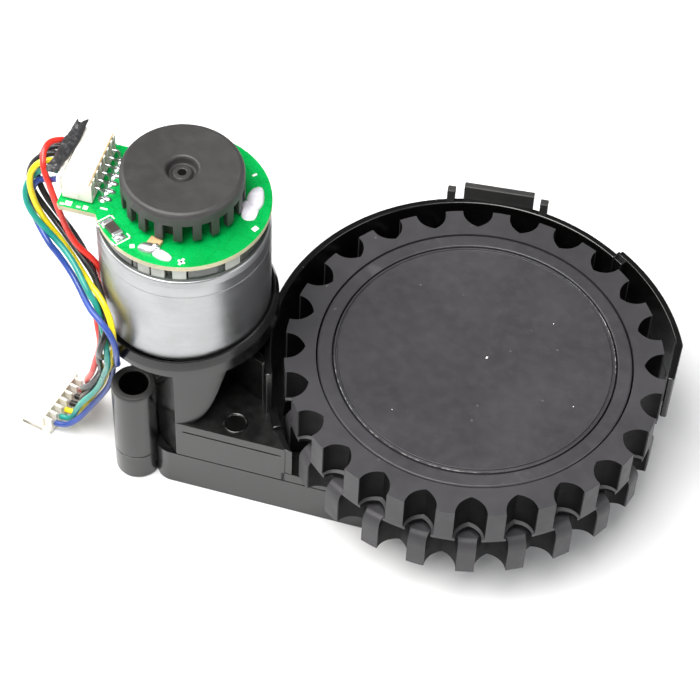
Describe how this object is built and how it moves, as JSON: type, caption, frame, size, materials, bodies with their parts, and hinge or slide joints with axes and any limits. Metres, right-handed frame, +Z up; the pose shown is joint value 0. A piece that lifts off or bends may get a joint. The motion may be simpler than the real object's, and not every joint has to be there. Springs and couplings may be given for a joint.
{
  "type": "robot vacuum wheel module",
  "caption": "Drive wheel module: lugged wheel in a half-round shroud, flat gearbox with pivot tube, upright brushed motor with encoder board, and a short multi-wire lead.",
  "frame": {"origin": "middle of the module's box in plan, lead left out, on the plane of the gearbox's underside", "axes": "+X from the motor toward the wheel, +Z up out of the wheel's outer face, +Y toward the side that the shroud wraps"},
  "size_m": [0.1304, 0.0808, 0.0778],
  "materials": {
    "shell_black": "moulded black engineering plastic, half gloss",
    "cap_black": "fine-grained matt black plastic",
    "tyre_rubber": "moulded rubber, dull satin",
    "hub_black": "satin black plastic with fine moulding marks",
    "steel": "ground steel",
    "can_steel": "zinc-plated steel, soft sheen",
    "tinned": "tinned metal",
    "brass": "turned brass",
    "copper": "copper",
    "gear_white": "natural acetal",
    "magnet": "ferrite",
    "bell_plastic": "dark translucent plastic",
    "board_green": "green solder mask",
    "chip": "dark moulded component",
    "plug_white": "natural white nylon",
    "wire_red": "PVC insulation",
    "wire_black": "PVC insulation",
    "wire_yellow": "PVC insulation",
    "wire_green": "PVC insulation",
    "wire_blue": "PVC insulation",
    "tape_black": "crinkled black tape"
  },
  "bodies": {
    "gearbox": {"gearbox_lower_shell": "shell_black", "gearbox_upper_shell": "shell_black", "wheel_bearing_lower": "brass", "wheel_bearing_upper": "brass", "gear_pin_1": "steel", "gear_pin_2": "steel", "gear_pin_3": "steel", "housing_screw_1": "steel", "housing_screw_2": "steel", "housing_screw_3": "steel", "housing_screw_4": "steel", "housing_screw_5": "steel", "motor_screw_1": "steel", "motor_screw_2": "steel", "motor_can": "can_steel", "motor_end_bell": "bell_plastic", "motor_front_bush": "brass", "motor_rear_bush": "brass", "motor_magnet_left": "magnet", "motor_magnet_right": "magnet", "brush_left": "copper", "brush_right": "copper", "motor_terminal_left": "tinned", "motor_terminal_right": "tinned", "encoder_board": "board_green", "encoder_sensor": "chip", "chip_resistor": "chip", "board_header": "plug_white", "header_pin_1": "tinned", "header_pin_2": "tinned", "header_pin_3": "tinned", "header_pin_4": "tinned", "header_pin_5": "tinned", "header_pin_6": "tinned", "board_plug": "plug_white", "free_plug": "plug_white", "wire_red": "wire_red", "wire_black_1": "wire_black", "wire_black_2": "wire_black", "wire_yellow": "wire_yellow", "wire_green": "wire_green", "wire_blue": "wire_blue", "harness_tape": "tape_black"},
    "wheel": {"output_gear": "gear_white", "wheel_axle": "steel", "wheel_hub": "hub_black", "hub_cap": "hub_black", "tyre": "tyre_rubber", "wheel_screw": "steel"},
    "third_gear": {"gear_3": "gear_white"},
    "second_gear": {"gear_2": "gear_white"},
    "first_gear": {"gear_1": "gear_white"},
    "rotor": {"motor_shaft": "steel", "motor_armature": "copper", "motor_commutator": "copper", "motor_pinion": "brass", "encoder_disc": "cap_black"}
  },
  "joints": [
    {"name": "wheel_spin", "type": "hinge", "parent": "gearbox", "child": "wheel", "pos_m": [0.02077, -0.00238, 0.02], "axis": [0, 0, 1], "continuous": true},
    {"name": "third_gear_spin", "type": "hinge", "parent": "gearbox", "child": "third_gear", "pos_m": [0.00157, -0.00238, 0.005], "axis": [0, 0, 1], "continuous": true},
    {"name": "second_gear_spin", "type": "hinge", "parent": "gearbox", "child": "second_gear", "pos_m": [-0.01383, -0.00238, 0.008], "axis": [0, 0, 1], "continuous": true},
    {"name": "first_gear_spin", "type": "hinge", "parent": "gearbox", "child": "first_gear", "pos_m": [-0.02936, -0.00377, 0.02], "axis": [0, 0, 1], "continuous": true},
    {"name": "rotor_spin", "type": "hinge", "parent": "gearbox", "child": "rotor", "pos_m": [-0.03703, -0.00938, 0.05], "axis": [0, 0, 1], "continuous": true}
  ],
  "couplings": [
    {"joint": "third_gear_spin", "follows": "wheel_spin", "ratio": -3},
    {"joint": "second_gear_spin", "follows": "wheel_spin", "ratio": 8},
    {"joint": "first_gear_spin", "follows": "wheel_spin", "ratio": -26.667},
    {"joint": "rotor_spin", "follows": "wheel_spin", "ratio": 57.778}
  ]
}
